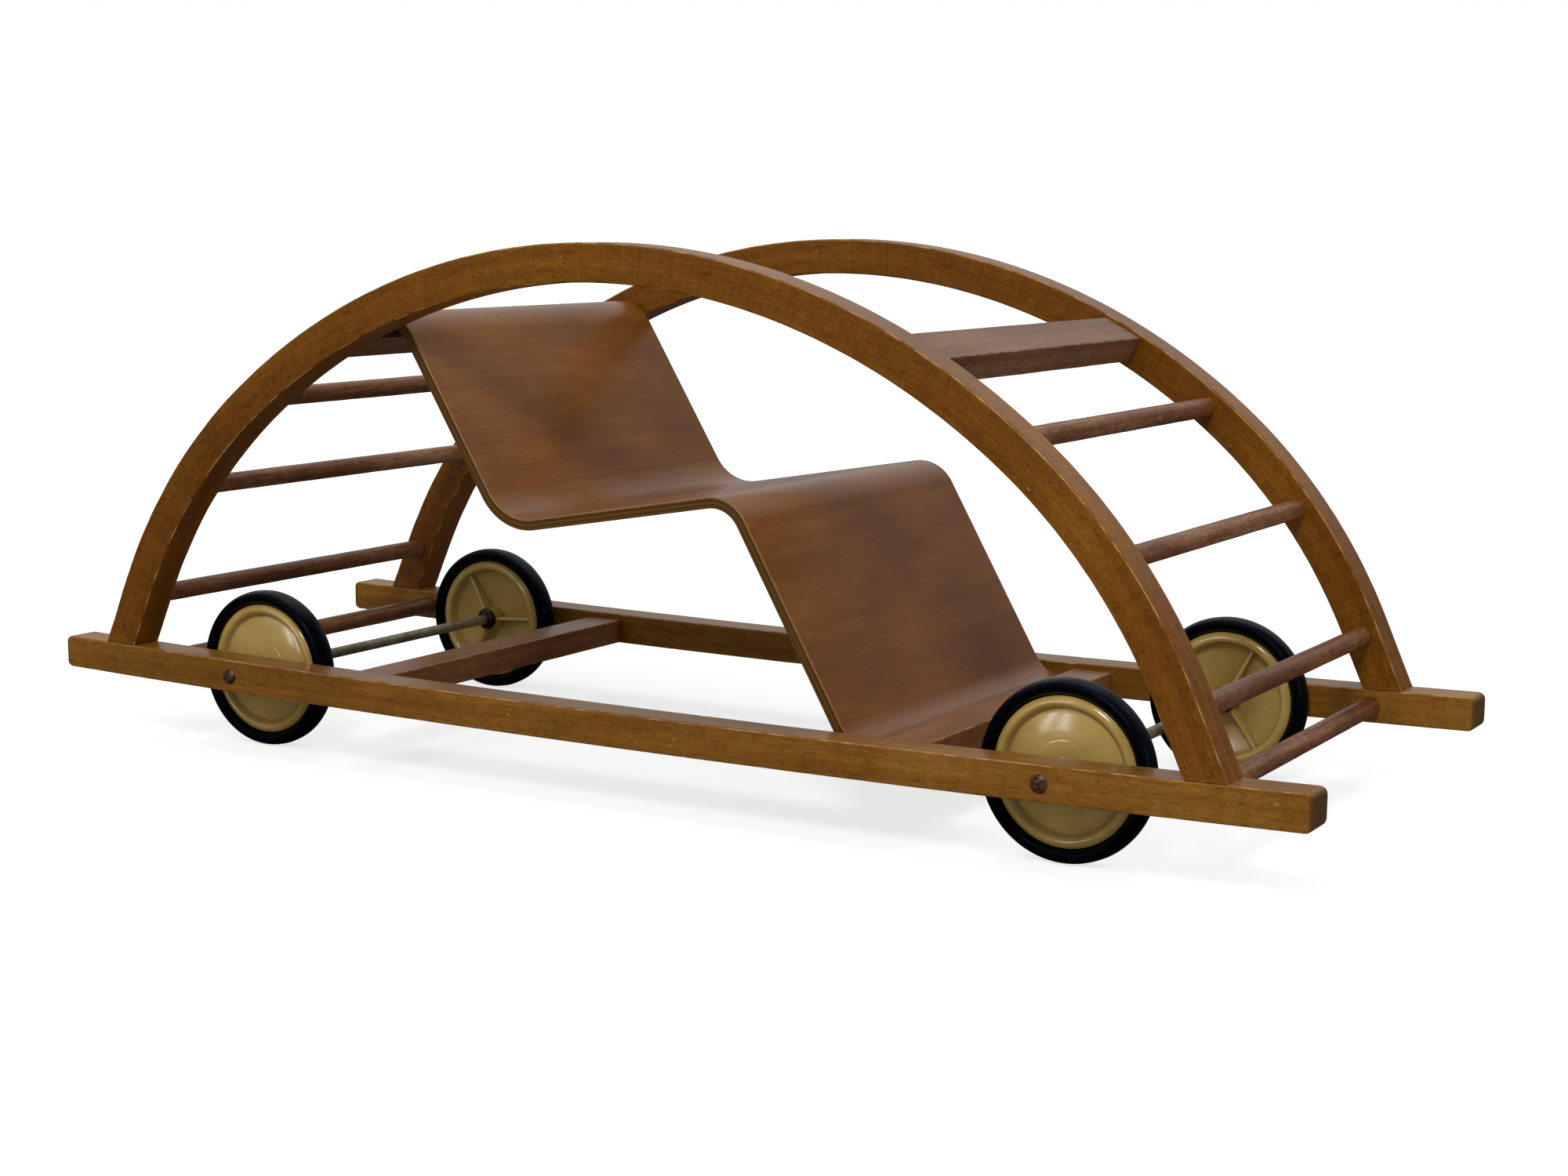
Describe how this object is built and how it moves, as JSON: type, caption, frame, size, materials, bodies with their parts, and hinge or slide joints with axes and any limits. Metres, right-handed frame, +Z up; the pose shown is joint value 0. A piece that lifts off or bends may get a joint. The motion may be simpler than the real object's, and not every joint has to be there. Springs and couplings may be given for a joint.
{
  "type": "rocking cart",
  "caption": "Child's wooden rocking cart: two bent arches on rails joined by rungs, a zig-zag moulded plywood seat and free-turning wheels; turned over, it rocks on the arches.",
  "frame": {"origin": "on the ground, under the middle of the cart's bounding box", "axes": "+X along the rails towards the child's feet, +Y to the child's left, +Z up"},
  "size_m": [1, 0.3728, 0.3823],
  "materials": {
    "beech": "satin lacquer, golden brown",
    "turned_beech": "worn satin lacquer, pinkish brown",
    "flat_beech": "worn satin lacquer, pinkish brown",
    "moulded_plywood": "satin lacquer over red-brown veneer",
    "axle_steel": "dull, lightly oxidised",
    "browned_steel": "oxidised brown",
    "black_steel": "black, worn",
    "cream_plastic": "moulded, yellowed cream",
    "black_rubber": "soft sheen"
  },
  "bodies": {
    "frame": {"rail_left": "beech", "rail_right": "beech", "arch_left": "beech", "arch_right": "beech", "rung_rear_1": "turned_beech", "rung_rear_2": "turned_beech", "rung_rear_3": "turned_beech", "low_rung_rear": "turned_beech", "rung_front_1": "turned_beech", "rung_front_2": "turned_beech", "rung_front_3": "turned_beech", "low_rung_front": "turned_beech", "seat_top_bar": "flat_beech", "hand_bar": "flat_beech", "cross_beam_rear": "flat_beech", "cross_beam_front": "flat_beech", "plywood_seat": "moulded_plywood", "foot_pin_rear_left": "turned_beech", "foot_pin_rear_right": "turned_beech", "foot_pin_front_left": "turned_beech", "foot_pin_front_right": "turned_beech", "axle_rear": "axle_steel", "axle_front": "axle_steel", "axle_cap_rear_left": "browned_steel", "axle_cap_rear_right": "browned_steel", "axle_cap_front_left": "browned_steel", "axle_cap_front_right": "browned_steel", "wheel_spacer_rear_left": "axle_steel", "wheel_spacer_rear_right": "axle_steel", "wheel_spacer_front_left": "axle_steel", "wheel_spacer_front_right": "axle_steel", "push_nut_rear_left": "black_steel", "push_nut_rear_right": "black_steel", "push_nut_front_left": "black_steel", "push_nut_front_right": "black_steel"},
    "rear_left_wheel": {"wheel_rear_left": "cream_plastic", "tyre_rear_left": "black_rubber"},
    "rear_right_wheel": {"wheel_rear_right": "cream_plastic", "tyre_rear_right": "black_rubber"},
    "front_left_wheel": {"wheel_front_left": "cream_plastic", "tyre_front_left": "black_rubber"},
    "front_right_wheel": {"wheel_front_right": "cream_plastic", "tyre_front_right": "black_rubber"}
  },
  "joints": [
    {"name": "rear_left_wheel_spin", "type": "hinge", "parent": "frame", "child": "rear_left_wheel", "pos_m": [-0.33203, 0.14, 0.059], "axis": [0, 1, 0], "continuous": true},
    {"name": "rear_right_wheel_spin", "type": "hinge", "parent": "frame", "child": "rear_right_wheel", "pos_m": [-0.33203, -0.14, 0.059], "axis": [0, 1, 0], "continuous": true},
    {"name": "front_left_wheel_spin", "type": "hinge", "parent": "frame", "child": "front_left_wheel", "pos_m": [0.32703, 0.14, 0.059], "axis": [0, 1, 0], "continuous": true},
    {"name": "front_right_wheel_spin", "type": "hinge", "parent": "frame", "child": "front_right_wheel", "pos_m": [0.32703, -0.14, 0.059], "axis": [0, 1, 0], "continuous": true}
  ]
}
